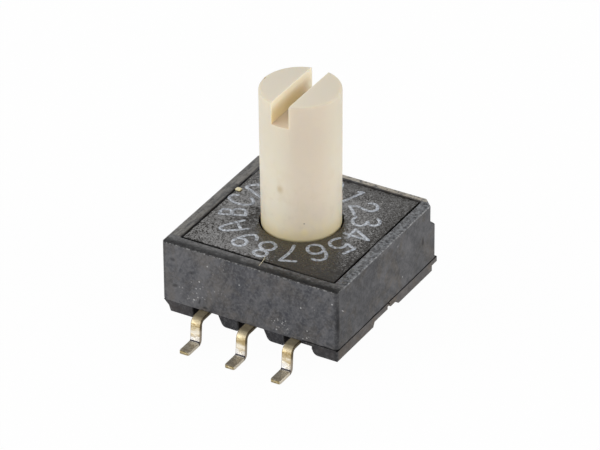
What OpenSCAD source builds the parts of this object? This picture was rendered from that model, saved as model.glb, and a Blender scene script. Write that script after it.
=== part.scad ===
// Rotary dip switch, 16 positions, 10 mm class, surface mount, long slotted shaft.
// Millimetres, +Z up along the shaft, origin on the board under the shaft axis.
// The face at -Y is the front, with three of the six terminals.

/* [Body] */
// Width of the moulded body across X
body_w = 9.75; // [9.4:0.05:10.6]
// From the shaft axis to the front face
body_front = 5.05; // [4.9:0.05:5.5]
// From the shaft axis to the back face of the housing
body_back = 4.62; // [4.5:0.02:4.8]
// Height of the rim above the board
body_top = 4.70; // [4.6:0.05:5.2]
// Height of the seam between housing and base above the board
seam_z = 1.42; // [1.3:0.02:1.5]
// Thickness of the housing's side walls
wall = 0.80; // [0.6:0.05:0.9]
// Radius of the upright corners
corner_r = 0.20; // [0.1:0.02:0.3]
// Width of the flats cut on the two back corners
key_flat = 0.50; // [0.3:0.01:0.6]
// Depth of those flats below the rim
key_drop = 1.00; // [0.6:0.05:1.2]
// Height of the sloping shoulder under each flat
key_shoulder = 0.24; // [0.2:0.02:0.5]
// Height of the groove along the seam
seam_groove_h = 0.07; // [0.05:0.01:0.1]
// Depth of that groove
seam_groove_deep = 0.09; // [0.05:0.01:0.12]
// Start of that groove on the front and back, from the middle
seam_groove_from = 2.90; // [2.8:0.1:3.4]
// Thickness of the web that carries the number plate
web_t = 1.15; // [1.1:0.05:1.2]

/* [Number plate] */
// Width of the rim along the two sides
rim_side = 0.59; // [0.5:0.01:0.7]
// Width of the rim along the front
rim_front = 0.76; // [0.5:0.01:0.8]
// Width of the rim along the back
rim_back = 0.34; // [0.3:0.01:0.5]
// Thickness of the plate
plate_t = 0.30; // [0.25:0.05:0.35]
// Depth of the plate's face below the rim
plate_sink = 0.04; // [0:0.01:0.1]
// Open groove between plate and rim
plate_gap = 0.08; // [0.05:0.01:0.15]
// Open ring between plate and shaft
plate_bore_gap = 0.12; // [0.08:0.01:0.2]

/* [Shaft] */
// Diameter of the shaft
shaft_d = 4.0; // [3.8:0.1:4.2]
// Height of the shaft's end above the board
shaft_top = 12.10; // [8:0.05:16]
// Width of the screwdriver slot
slot_w = 0.95; // [0.6:0.05:1.2]
// Depth of the screwdriver slot
slot_depth = 1.12; // [0.6:0.02:1.5]
// Rounding of the shaft's end
shaft_edge_r = 0.10; // [0.05:0.01:0.2]
// Step from the shaft in to the neck that carries the sealing ring
neck_step = 0.16; // [0.16:0.01:0.2]
// Height of that step above the rim
neck_rise = 0.05; // [0.02:0.01:0.1]

/* [Rotor] */
// Room between the flange and each side wall
side_room = 0.625; // [0.6:0.005:0.65]
// Room between the flange and the back wall
back_room = 0.37; // [0.34:0.01:0.4]
// Thickness of the flange
flange_t = 1.00; // [0.9:0.05:1.05]
// Radius of the pivot pin under the flange
pivot_r = 0.60; // [0.5:0.02:0.62]
// Length of the pivot pin
pivot_len = 1.00; // [0.9:0.02:1.04]
// Length of the journal that runs in the web
journal_len = 0.42; // [0.36:0.02:0.46]
// Running clearance round journal, shaft and pin
run_gap = 0.05; // [0.03:0.01:0.08]
// End play of the rotor under the web
end_play = 0.05; // [0.03:0.01:0.08]

/* [Detent] */
// Number of switch positions
positions = 16; // [16]
// Radius of each notch in the flange's rim
notch_r = 0.42; // [0.38:0.01:0.46]
// Distance of each notch's centre outside the flange's edge
notch_out = 0.20; // [0.18:0.01:0.24]
// Thickness of the detent spring strip
spring_t = 0.10; // [0.08:0.01:0.12]
// Height of the detent spring strip
spring_h = 0.70; // [0.5:0.05:0.8]
// Play between spring nose and notch
nose_gap = 0.04; // [0.03:0.005:0.06]
// Bend radius between nose and arm, along the middle of the strip
spring_bend = 0.12; // [0.08:0.01:0.16]
// Play between the spring's ends and the housing
spring_play = 0.01; // [0.005:0.005:0.03]
// Distance of each spring end from the middle of the spring
spring_reach = 2.70; // [2.4:0.1:3]
// Width of the ribs that hold the spring's ends
stop_w = 0.20; // [0.15:0.01:0.25]

/* [Shaft seal] */
// Cord diameter of the sealing ring
seal_cord = 0.46; // [0.42:0.01:0.48]
// Play round the sealing ring
seal_gap = 0.02; // [0.015:0.005:0.03]

/* [Code disc] */
// Thickness of the stamped disc
disc_t = 0.15; // [0.1:0.01:0.2]
// Margin between the disc's edge and the flange's edge
disc_margin = 0.17; // [0.15:0.01:0.2]
// Inner radius of the four bit tracks
track_in = 1.22; // [1.2:0.01:1.26]
// Width of the ring left outside the outermost track
track_edge = 0.08; // [0.07:0.01:0.1]
// Width of the ring left between two tracks
track_web = 0.10; // [0.08:0.01:0.11]
// Mean radius of the common ring
common_r = 0.94; // [0.92:0.01:0.96]
// Play between the disc and the rotor that carries it
disc_gap = 0.02; // [0.01:0.005:0.03]

/* [Terminals] */
// Spacing of the terminals
pitch = 2.54; // [2.5:0.01:2.6]
// Width of a terminal strip
term_w = 0.55; // [0.45:0.01:0.65]
// Thickness of the strip
term_t = 0.20; // [0.16:0.01:0.22]
// From the shaft axis to the outer face of a leg at its foot
leg_out = 5.95; // [5.9:0.05:6.2]
// From the shaft axis to the tip of a foot
foot_out = 7.03; // [6.9:0.01:7.4]
// Outward lean of a leg in degrees
leg_lean = 5; // [0:1:8]
// Inside radius of the upper bend
bend_top_r = 0.20; // [0.15:0.01:0.25]
// Inside radius of the lower bend
bend_foot_r = 0.08; // [0.06:0.01:0.12]
// Width of the contact fingers
finger_w = 0.34; // [0.3:0.01:0.38]
// Sideways place of the finger of weight 2, as a share of its track's radius
finger_at_2 = 0.77; // [0.74:0.01:0.8]
// Sideways place of the finger of weight 4, as a share of its track's radius
finger_at_4 = 0.67; // [0.64:0.01:0.7]
// Sideways place of the finger of weight 8, as a share of its track's radius
finger_at_8 = 0.63; // [0.6:0.01:0.66]
// Rise of the contact fingers in degrees
finger_rise = 20; // [19:0.5:24]
// Bend radius of the contact fingers along their middle
finger_r = 0.30; // [0.25:0.01:0.35]
// Turn of the finger tips back down in degrees
tip_turn = 24; // [18:1:28]
// Length of the finger tips past their bend
tip_len = 0.06; // [0.04:0.01:0.08]
// Play between finger and code disc
contact_gap = 0.02; // [0.015:0.005:0.03]

/* [Base] */
// Height of the base's underside above the board
base_z = 0.83; // [0.75:0.01:0.9]
// Height of the underside of the base's flange above the board
flange_z = 1.13; // [1.08:0.01:1.16]
// Step from the housing's face back to the base's face
base_inset = 0.04; // [0.02:0.01:0.08]
// From the shaft axis to the back edge of the base's flange
base_back = 4.86; // [4.84:0.01:5]
// Half width of a terminal window
window_half = 0.70; // [0.6:0.01:0.8]
// Depth of a terminal window behind the face
window_deep = 0.95; // [0.85:0.01:1]
// Height of the locating rim above the seam
locate_h = 0.86; // [0.8:0.02:0.9]
// Thickness of the locating rim
locate_t = 0.35; // [0.25:0.05:0.4]
// Play between locating rim and housing
locate_gap = 0.04; // [0.02:0.01:0.06]
// Slope of the right side of a window, sideways per height
window_slope = 0.45; // [0.3:0.05:0.6]
// Rounding of the blocks between the windows
block_r = 0.30; // [0.2:0.02:0.34]
// Length of the relief in the lower edge of each side
relief_len = 2.50; // [1.8:0.05:2.6]
// Start of that relief along Y, from the shaft axis
relief_from = -1.50; // [-1.8:0.05:-1.2]
// Height of that relief
relief_h = 0.24; // [0.15:0.01:0.27]
// Length of its sloping front end
relief_end = 0.13; // [0.1:0.01:0.2]
// Start of the small nick in the relief
nick_from = -0.08; // [-0.4:0.02:0]
// Length of that nick, along which its roof slopes down
nick_w = 0.30; // [0.3:0.05:0.5]
// Height of that nick above the base's underside
nick_h = 0.46; // [0.3:0.02:0.5]
// Depth of that nick
nick_deep = 0.15; // [0.1:0.05:0.35]
// Sideways run of the sloping end of the front lip
slope_run = 0.42; // [0.34:0.02:0.5]
// Sideways run of that slope down to the flange's underside
slope_knee = 0.32; // [0.2:0.02:0.34]
// Sideways shift of the windows' right sides
window_shift = 0.06; // [0:0.01:0.1]
// Depth of that relief behind the side face
relief_deep = 0.45; // [0.3:0.05:0.6]
// Step of the lips in front of the flange's back edge
lip_step = 0.50; // [0.3:0.05:0.6]
// Wall between a window and the sealed recess
potting_wall = 0.20; // [0.15:0.05:0.3]
// Wall of the pivot bearing
bearing_wall = 0.22; // [0.18:0.02:0.26]
// Distance of the bearing's top below the disc
bearing_drop = 0.30; // [0.2:0.05:0.4]
// Depth of the wells under the contact fingers
well_deep = 0.08; // [0.05:0.01:0.1]
// Room beside the contact fingers
well_side = 0.06; // [0.04:0.01:0.08]
// Length of the wells past the point of contact
well_past = 0.30; // [0.25:0.05:0.35]
// Play round terminals in the base
seat_gap = 0.02; // [0.01:0.005:0.03]
// Distance of the cross bars of the jogged terminals from the axis
jog_at = 3.88; // [3.84:0.01:3.9]
// Width of those cross bars
jog_w = 0.40; // [0.3:0.02:0.44]
// Depth of the sealed recess in the underside
potting_t = 0.12; // [0.08:0.01:0.14]

/* [Hidden] */

// How far a cut runs out past the face that it opens
cut = 1;

// Heights that follow from the sizes above
plate_z = body_top - plate_sink - plate_t;
web_z = plate_z - web_t;
flange_top = web_z - end_play;
flange_low = flange_top - flange_t;
step_angle = 360 / positions;
shaft_r = shaft_d / 2;
neck_r = shaft_r - neck_step;
neck_top = body_top + neck_rise;
pivot_z = flange_low - pivot_len;
spring_z = seam_z + locate_h;
seat_z = seam_z - term_t;
potting_z = base_z + potting_t;
journal_top = web_z + journal_len;
gland_top = journal_top + seal_cord + seal_gap;

// Inside of the housing
cavity_x = body_w / 2 - wall;
cavity_front = body_front - wall;
cavity_back = body_back - wall;

// Pocket that holds the number plate
pocket_x = body_w / 2 - rim_side;
pocket_front = body_front - rim_front;
pocket_back = body_back - rim_back;

// Bore in the web that holds the journal and, above it, the sealing ring
gland_r = neck_r + seal_gap + seal_cord;
journal_r = gland_r - run_gap;

// Radii of the rotor and its disc, which fill the cavity's narrower way
flange_r = min(cavity_x - side_room, cavity_back - back_room);
notch_at = flange_r + notch_out;
disc_r = flange_r - disc_margin;
track_w = (disc_r - track_edge - track_in - 3 * track_web) / 4;

// Middle of a terminal strip where it lies in the base
strip_z = seam_z - term_t / 2;
bend_top_m = bend_top_r + term_t / 2;
bend_foot_m = bend_foot_r + term_t / 2;
leg_turn = 90 - leg_lean;
leg_drop = (bend_top_m + bend_foot_m) * (1 - cos(leg_turn));
leg_len = (strip_z - term_t / 2 - leg_drop) / sin(leg_turn);
leg_run = bend_top_m * sin(leg_turn) + leg_len * cos(leg_turn);
lead_out = leg_out - term_t / 2 - leg_run;
foot_len = foot_out - (leg_out - term_t / 2) - bend_foot_m * sin(leg_turn);

// Terminals: [x of the leg, side, x of the finger, radius of its track]
// The code weights run 1, 2, 4, 8 from the outer track to the inner one
function track_r(i) = track_in + track_w / 2 + (3 - i) * (track_w + track_web);
BIT_1 = [-pitch, -1, -pitch, track_r(0)];
BIT_2 = [-pitch, 1, -finger_at_2 * track_r(1), track_r(1)];
BIT_4 = [pitch, -1, finger_at_4 * track_r(2), track_r(2)];
BIT_8 = [pitch, 1, finger_at_8 * track_r(3), track_r(3)];
COMMON_FRONT = [0, -1, 0, common_r];
COMMON_BACK = [0, 1, 0, common_r];
BITS = [BIT_1, BIT_2, BIT_4, BIT_8];
TERMINALS = [BIT_1, BIT_2, BIT_4, BIT_8, COMMON_FRONT, COMMON_BACK];

// Where a finger touches the disc, and where it leaves the base
finger_lift = flange_low - contact_gap - term_t / 2 - strip_z;
finger_len = (finger_lift - 2 * finger_r * (1 - cos(finger_rise))) / sin(finger_rise);
finger_run = 2 * finger_r * sin(finger_rise) + finger_len * cos(finger_rise);
function touch_y(t) = sqrt(t[3] * t[3] - t[2] * t[2]);
function root_y(t) = touch_y(t) + finger_run;
function touch_angle(t) = atan2(t[1] * touch_y(t), t[2]);

// Derived sizes of the base
window_deep_at = body_front - window_deep;
potting_y = body_front - window_deep - potting_wall;
bearing_top = flange_low - disc_t - bearing_drop;
well_z = seat_z - well_deep;

housing_black = [0.33, 0.33, 0.34];
plate_black = [0.28, 0.27, 0.25];
ivory = [0.87, 0.82, 0.74];
plated = [0.72, 0.62, 0.38];
spring_steel = [0.70, 0.70, 0.72];
rubber_black = [0.10, 0.10, 0.10];
epoxy_dark = [0.20, 0.18, 0.16];

$fn = 64;

// Upright block from y0 to y1, centred on X, with round upright corners
module rounded_block(half_x, y0, y1, h, r) {
    linear_extrude(h) {
        translate([-half_x + r, y0]) square([2 * (half_x - r), y1 - y0]);
        translate([-half_x, y0 + r]) square([2 * half_x, y1 - y0 - 2 * r]);
        for (x = [-half_x + r, half_x - r], y = [y0 + r, y1 - r])
            translate([x, y]) circle(r);
    }
}

// Plain block from y0 to y1, centred on X, from z0 to z1
module slab(half_x, y0, y1, z0, z1) {
    translate([-half_x, y0, z0]) cube([2 * half_x, y1 - y0, z1 - z0]);
}

// Part of a flat ring between two radii, from angle a0 over a turn
module arc_2d(r_in, r_out, a0, turn) {
    far = 2 * r_out;
    intersection() {
        difference() {
            circle(r_out);
            circle(r_in);
        }
        polygon([
            [0, 0],
            far * [cos(a0), sin(a0)],
            far * [cos(a0 + turn / 2), sin(a0 + turn / 2)],
            far * [cos(a0 + turn), sin(a0 + turn)]
        ]);
    }
}

// Bent strip drawn along its middle: each step is ["go", length] or
// ["left", radius, angle] or ["right", radius, angle]
module strip_2d(steps, t, i = 0) {
    if (i < len(steps)) {
        s = steps[i];
        if (s[0] == "go") {
            translate([0, -t / 2]) square([s[1], t]);
            translate([s[1], 0]) strip_2d(steps, t, i + 1);
        } else if (s[0] == "left") {
            translate([0, s[1]]) {
                arc_2d(s[1] - t / 2, s[1] + t / 2, -90, s[2]);
                rotate(s[2]) translate([0, -s[1]]) strip_2d(steps, t, i + 1);
            }
        } else {
            translate([0, -s[1]]) {
                arc_2d(s[1] - t / 2, s[1] + t / 2, 90 - s[2], s[2]);
                rotate(-s[2]) translate([0, s[1]]) strip_2d(steps, t, i + 1);
            }
        }
    }
}

// Draws its children and their mirror image across the X axis
module both_ends() {
    children();
    mirror([0, 1, 0]) children();
}

// Draws its children on the +X side, or mirrored on the -X side
module on_side(x) {
    if (x > 0) {
        children();
    } else {
        mirror([1, 0, 0]) children();
    }
}

// Turns a drawing of (outward, up) into a strip of width w on one side of the body
module side_strip(side, x, w) {
    to_side(side)
        translate([side * x - w / 2, 0, 0])
            rotate([90, 0, 90])
                linear_extrude(w) children();
}

// Plan of the hole in one bit track: a ring sector, opened or closed by play
module track_hole(r, a0, turn, play) {
    play_angle = play / r * 180 / PI;
    arc_2d(r - track_w / 2 - play, r + track_w / 2 + play, a0 - play_angle, turn + 2 * play_angle);
}

// All the holes of the hexadecimal code. Seen from a finger, the track of
// weight 2^b is open at each position whose bit b is zero.
module code_holes(play) {
    for (b = [0:3]) {
        run = pow(2, b);
        first = touch_angle(BITS[b]) - step_angle / 2;
        for (k = [0:2 * run:positions - 1])
            track_hole(track_r(b), first + k * step_angle, run * step_angle, play);
    }
}

// Moulded housing: four walls, a web with bore and seal gland, and a pocket
module housing() {
    color(housing_black) difference() {
        translate([0, 0, seam_z])
            rounded_block(body_w / 2, -body_front, body_back, body_top - seam_z, corner_r);
        difference() {
            slab(cavity_x, -cavity_front, cavity_back, seam_z - cut, web_z);
            for (x = [-1, 1], y = [-1, 1])
                spring_stop(x, y);
        }
        slab(pocket_x, -pocket_front, pocket_back, plate_z, body_top + cut);
        translate([0, 0, web_z - cut]) cylinder(h = cut + gland_top - web_z, r = gland_r);
        translate([0, 0, web_z]) cylinder(h = web_t + cut, r = shaft_r + run_gap);
        for (x = [-1, 1]) {
            key_cut(x);
            seam_groove(x);
        }
    }
}

// Groove over the seam that runs along a side and round its two corners
module seam_groove(x) {
    on_side(x) difference() {
        translate([seam_groove_from, -body_front - cut, seam_z - cut])
            cube([body_w / 2 - seam_groove_from + cut, body_front + body_back + 2 * cut, cut + seam_groove_h]);
        translate([0, 0, seam_z - 2 * cut])
            rounded_block(
                body_w / 2 - seam_groove_deep, -body_front + seam_groove_deep, body_back - seam_groove_deep,
                4 * cut, corner_r
            );
    }
}

// Rib on the inside of a side wall that holds the end of a detent spring
module spring_stop(x, y) {
    stop_y = spring_reach + nose_gap + (y > 0 ? 0 : stop_w);
    on_side(x) translate([cavity_x - stop_w, y * stop_y, spring_z])
        cube([stop_w + cut, stop_w, web_z - spring_z + cut]);
}

// Flat on a back corner that runs out in a sloping shoulder
module key_cut(x) {
    flat_at = (body_w / 2 + body_back - key_flat) / sqrt(2);
    flat_low = body_top - key_drop;
    far = flat_at + 2 * key_flat;
    shift = (body_w / 2 - body_back) / sqrt(2);
    on_side(x) rotate(45) translate([0, 2 * key_flat - shift, 0]) rotate([90, 0, 0])
        linear_extrude(4 * key_flat) polygon([
            [flat_at, body_top + cut], [flat_at, flat_low],
            [flat_at + key_flat / sqrt(2), flat_low - key_shoulder],
            [far, flat_low - key_shoulder], [far, body_top + cut]
        ]);
}

// Inset plate that carries the dial
module number_plate() {
    color(plate_black) translate([0, 0, plate_z]) difference() {
        rounded_block(pocket_x - plate_gap, -pocket_front + plate_gap, pocket_back - plate_gap, plate_t, corner_r / 2);
        translate([0, 0, -cut]) cylinder(h = plate_t + 2 * cut, r = shaft_r + plate_bore_gap);
    }
}

// Shaft, notched flange and pivot pin in one moulding
module rotor() {
    color(ivory) difference() {
        union() {
            shaft_turned();
            translate([0, 0, flange_low]) linear_extrude(flange_t) difference() {
                circle(flange_r);
                for (i = [0:positions - 1])
                    rotate(i * step_angle) translate([notch_at, 0]) circle(notch_r);
            }
        }
        shaft_slot();
        translate([0, 0, flange_low - cut]) difference() {
            cylinder(h = cut + disc_t, r = disc_r + disc_gap);
            cylinder(h = cut + disc_t, r = pivot_r);
            linear_extrude(cut + disc_t) code_holes(-disc_gap);
        }
    }
}

// Turned form of pin, journal, neck and shaft, with a rounded end
module shaft_turned() {
    rotate_extrude() {
        translate([0, pivot_z]) square([pivot_r, flange_low + disc_t - pivot_z]);
        translate([0, flange_low]) square([journal_r, journal_top - flange_low]);
        translate([0, journal_top]) square([neck_r, neck_top - journal_top]);
        translate([0, neck_top]) square([shaft_r, shaft_top - shaft_edge_r - neck_top]);
        translate([0, shaft_top - shaft_edge_r]) square([shaft_r - shaft_edge_r, shaft_edge_r]);
        intersection() {
            translate([shaft_r - shaft_edge_r, shaft_top - shaft_edge_r]) circle(shaft_edge_r);
            square([shaft_r, shaft_top]);
        }
    }
}

// Screwdriver slot, which points at the number set on the dial
module shaft_slot() {
    translate([-slot_w / 2, -shaft_d, shaft_top - slot_depth]) cube([slot_w, 2 * shaft_d, slot_depth + cut]);
}

// Stamped contact disc with the hexadecimal code
module code_disc() {
    color(plated) translate([0, 0, flange_low]) linear_extrude(disc_t) difference() {
        circle(disc_r);
        circle(pivot_r + disc_gap);
        code_holes(0);
    }
}

// Sealing ring between shaft and housing
module shaft_seal() {
    color(rubber_black) translate([0, 0, gland_top - seal_cord / 2])
        rotate_extrude() translate([gland_r - seal_cord / 2, 0]) circle(seal_cord / 2);
}

// Leaf spring whose nose drops into the notches: x is the side it stands on
module detent_spring(x) {
    nose_m = notch_r - nose_gap - spring_t / 2;
    arm_x = cavity_x - spring_play - spring_t / 2;
    lean = asin((arm_x - notch_at - spring_bend) / (spring_reach - nose_m));
    arm_len = (spring_reach - nose_m - spring_bend * (1 - sin(lean))) / cos(lean);
    color(spring_steel) on_side(x) translate([0, 0, spring_z]) linear_extrude(spring_h) {
        translate([notch_at, 0]) arc_2d(nose_m - spring_t / 2, nose_m + spring_t / 2, 90, 180);
        both_ends() translate([notch_at, nose_m]) strip_2d([
            ["left", spring_bend, 90 - lean],
            ["go", arm_len]
        ], spring_t);
    }
}

module detent_spring_left() {
    detent_spring(-1);
}

module detent_spring_right() {
    detent_spring(1);
}

// Elevation of one terminal window in a lip, for a leg at x
module window_2d(x) {
    low = base_z - cut;
    right_top = x + window_half + window_shift;
    right_low = right_top + (seam_z - base_z) * window_slope;
    run = block_r * tan((90 - atan(window_slope)) / 2);
    polygon([
        [x - window_half, low], [x - window_half, seam_z + cut],
        [right_top - cut * window_slope, seam_z + cut], [right_low, base_z], [right_low, low]
    ]);
    // Round lower corner of the block beside the window
    difference() {
        polygon([
            [right_low - block_r, low], [right_low + run, low],
            [right_low + run, base_z + block_r], [right_low - run * sin(atan(window_slope)), base_z + run]
        ]);
        translate([right_low + run, base_z + block_r]) circle(block_r);
    }
}

// The three windows of a lip; the flange stays whole beside the last leg
module lip_windows() {
    translate([0, -window_deep_at, 0]) rotate([90, 0, 0]) linear_extrude(window_deep + cut)
        difference() {
            for (x = [-pitch, 0, pitch])
                window_2d(x);
            translate([pitch + term_w / 2 + seat_gap, flange_z]) square([body_w / 2, seam_z]);
        }
}

// Sloping end of the front lip under the left corner
module lip_slope() {
    edge = -body_w / 2;
    translate([0, -window_deep_at, 0]) rotate([90, 0, 0]) linear_extrude(window_deep + cut)
        polygon([
            [edge - cut, seam_z], [edge + base_inset, seam_z],
            [edge + slope_knee, flange_z], [edge + slope_run, base_z],
            [edge + slope_run, base_z - cut], [edge - cut, base_z - cut]
        ]);
}

// Strips of one terminal as they lie in the base, grown by play, from z0 to z1
module terminal_plan(t, play, z0, z1) {
    half_w = term_w / 2 + play;
    half_f = finger_w / 2 + play;
    half_j = jog_w / 2 + play;
    translate([0, 0, z0]) linear_extrude(z1 - z0) to_side(t[1]) {
        x = t[1] * t[0];
        f = t[1] * t[2];
        translate([x - half_w, jog_at - half_j]) square([2 * half_w, lead_out - jog_at + half_j]);
        translate([f - half_f, root_y(t)]) square([2 * half_f, jog_at - root_y(t)]);
        translate([min(x - half_w, f - half_f), jog_at - half_j])
            square([max(x + half_w, f + half_f) - min(x - half_w, f - half_f), 2 * half_j]);
    }
}

// Turns what is drawn for the back half round to the front where side is -1
module to_side(side) {
    rotate(side > 0 ? 0 : 180) children();
}

// One stamped terminal: foot, leg, lead, cross bar and contact finger
module terminal(t) {
    color(plated) {
        terminal_plan(t, 0, seat_z, seam_z);
        side_strip(t[1], t[0], term_w) translate([lead_out, strip_z]) strip_2d([
            ["right", bend_top_m, leg_turn],
            ["go", leg_len],
            ["left", bend_foot_m, leg_turn],
            ["go", foot_len]
        ], term_t);
        side_strip(t[1], t[2], finger_w) translate([root_y(t), strip_z]) mirror([1, 0]) strip_2d([
            ["left", finger_r, finger_rise],
            ["go", finger_len],
            ["right", finger_r, finger_rise + tip_turn],
            ["go", tip_len]
        ], term_t);
    }
}

module terminal_bit_1() {
    terminal(BIT_1);
}

module terminal_bit_2() {
    terminal(BIT_2);
}

module terminal_bit_4() {
    terminal(BIT_4);
}

module terminal_bit_8() {
    terminal(BIT_8);
}

module terminal_common_front() {
    terminal(COMMON_FRONT);
}

module terminal_common_back() {
    terminal(COMMON_BACK);
}

// Moulded base: floor, flange, lips with windows, locating rim and bearing
module base() {
    face_x = body_w / 2 - base_inset;
    face_y = body_front - base_inset;
    color(housing_black) difference() {
        union() {
            // Flange at the seam, and the lips under it
            slab(face_x, -face_y, base_back, flange_z, seam_z);
            slab(face_x, -face_y, base_back - lip_step, base_z, seam_z);
            locating_rim();
            // Raised bearing for the pivot pin
            translate([0, 0, potting_z]) cylinder(h = bearing_top - potting_z, r = pivot_r + bearing_wall);
        }
        for (side = [-1, 1])
            to_side(side) {
                lip_windows();
                side_relief();
            }
        lip_slope();
        // Recess that the sealing compound fills
        potting_block();
        // Blind bore for the pivot pin
        translate([0, 0, pivot_z - end_play]) cylinder(h = bearing_top, r = pivot_r + run_gap);
        for (t = TERMINALS) {
            terminal_plan(t, seat_gap, seat_z, seam_z + cut);
            finger_well(t);
        }
    }
}

// Room under a contact finger, down to a shallow well in the floor
module finger_well(t) {
    half_f = finger_w / 2 + well_side;
    to_side(t[1])
        translate([t[1] * t[2] - half_f, touch_y(t) - well_past, well_z])
            cube([2 * half_f, finger_run + well_past, cut]);
}

// Low walls that fit inside the housing's two side walls and carry the springs
module locating_rim() {
    rim_x = cavity_x - locate_gap;
    difference() {
        slab(rim_x, -cavity_front + locate_gap, cavity_back - locate_gap, seam_z, spring_z);
        slab(rim_x - locate_t, -body_front, body_front, seam_z - cut, spring_z + cut);
    }
}

// Shallow relief in the lower edge of a side, with a small notch in it
module side_relief() {
    relief_to = relief_from + relief_len;
    translate([body_w / 2 - relief_deep, 0, 0]) rotate([90, 0, 90]) linear_extrude(relief_deep + cut)
        polygon([
            [relief_from, base_z - cut], [relief_from, base_z],
            [relief_from + relief_end, base_z + relief_h],
            [relief_to - 2 * relief_end, base_z + relief_h],
            [relief_to, base_z], [relief_to, base_z - cut]
        ]);
    translate([body_w / 2 - nick_deep, 0, 0]) rotate([90, 0, 90]) linear_extrude(nick_deep + cut)
        polygon([
            [nick_from, base_z], [nick_from, base_z + nick_h],
            [nick_from + nick_w, base_z + relief_h], [nick_from + nick_w, base_z]
        ]);
}

// Sealing compound that closes the base from below
module base_seal() {
    color(epoxy_dark) potting_block();
}

module potting_block() {
    slab(cavity_x, -potting_y, potting_y, base_z, potting_z);
}

housing();
number_plate();
rotor();
code_disc();
shaft_seal();
detent_spring_left();
detent_spring_right();
base();
base_seal();
terminal_bit_1();
terminal_common_front();
terminal_bit_4();
terminal_bit_2();
terminal_common_back();
terminal_bit_8();
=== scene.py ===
# %% [markdown]
# # Rotary dip switch
# A ten millimetre coding switch for a circuit board: a black moulded housing with an inset
# number plate, an ivory shaft with a screwdriver slot, a moulded base under it and six
# plated terminals bent into feet. The CAD model gives every size and place. This file
# dresses it: the pieces that show are modelled again with soft edges, and every piece gets
# a finish made of nodes.

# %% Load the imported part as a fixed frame
from math import ceil, cos, pi, radians, sin, sqrt
import bpy
from mathutils import Matrix, Vector


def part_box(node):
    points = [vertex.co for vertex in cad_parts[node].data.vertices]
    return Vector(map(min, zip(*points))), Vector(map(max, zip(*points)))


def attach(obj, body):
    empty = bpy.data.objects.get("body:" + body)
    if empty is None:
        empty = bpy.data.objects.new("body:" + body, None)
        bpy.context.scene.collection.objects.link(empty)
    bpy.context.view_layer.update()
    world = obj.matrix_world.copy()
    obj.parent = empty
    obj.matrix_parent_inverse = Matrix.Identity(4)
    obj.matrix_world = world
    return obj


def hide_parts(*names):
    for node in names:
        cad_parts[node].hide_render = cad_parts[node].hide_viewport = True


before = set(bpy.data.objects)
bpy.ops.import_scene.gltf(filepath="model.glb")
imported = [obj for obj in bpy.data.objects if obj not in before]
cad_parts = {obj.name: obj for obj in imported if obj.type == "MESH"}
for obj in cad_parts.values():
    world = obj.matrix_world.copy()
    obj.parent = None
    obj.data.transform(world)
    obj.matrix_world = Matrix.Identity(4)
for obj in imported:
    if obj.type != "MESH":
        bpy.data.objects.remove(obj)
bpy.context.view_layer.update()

MM = 0.001

# %% [markdown]
# ## The camera
# The view was solved from the straight edges of the moulding and the round shaft. It is a
# long lens from the front right, a little more than thirty degrees above the board, turned
# about half a degree round its own axis. It comes first because every later choice of
# texture size is judged through it.

# %% Set the camera
LOOK_AT = Vector((0.1436, -0.3944, 4.6126)) * MM
AZIMUTH, ELEVATION, ROLL = radians(30.257), radians(31.763), radians(-0.4925)
DISTANCE = 249.595 * MM
SENSOR, FOCAL_PIXELS, PICTURE_WIDTH = 36, 5159.61, 600
back = Vector((
    sin(AZIMUTH) * cos(ELEVATION),
    -cos(AZIMUTH) * cos(ELEVATION),
    sin(ELEVATION),
))
side = (-back).cross(Vector((0, 0, 1))).normalized()
over = side.cross(-back)
right = side * cos(ROLL) + over * sin(ROLL)
up = over * cos(ROLL) - side * sin(ROLL)
bpy.ops.object.camera_add(location=LOOK_AT + back * DISTANCE)
camera = bpy.context.object
camera.rotation_mode = "QUATERNION"
camera.rotation_quaternion = Matrix((right, up, back)).transposed().to_quaternion()
camera.data.sensor_width = SENSOR
camera.data.lens = FOCAL_PIXELS * SENSOR / PICTURE_WIDTH
camera.data.clip_start = 0.01
bpy.context.scene.camera = camera
bpy.context.scene.view_settings.view_transform = "Standard"
print("camera", [round(c / MM, 2) for c in camera.location], "lens", round(camera.data.lens, 1))

# %% [markdown]
# ## Shader maths as Python
# A finish is mostly sums and products of noise, so one small class wraps a socket and lets
# Python's operators add the Math nodes. Any other node comes from one method that is given
# the node's type, its settings and its sockets. Patterns read Object coordinates, turned
# into millimetres, so that a number such as 12 means twelve grains per millimetre.

# %% Wrap sockets and nodes
class Flow:
    """One socket's value. Operators on it add Math nodes."""

    def __init__(self, paint, socket):
        self.paint, self.socket = paint, socket

    def __add__(self, other):
        return self.paint.math("ADD", self, other)

    __radd__ = __add__

    def __sub__(self, other):
        return self.paint.math("SUBTRACT", self, other)

    def __rsub__(self, other):
        return self.paint.math("SUBTRACT", other, self)

    def __mul__(self, other):
        return self.paint.math("MULTIPLY", self, other)

    __rmul__ = __mul__

    def __abs__(self):
        return self.paint.math("ABSOLUTE", self)


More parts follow.
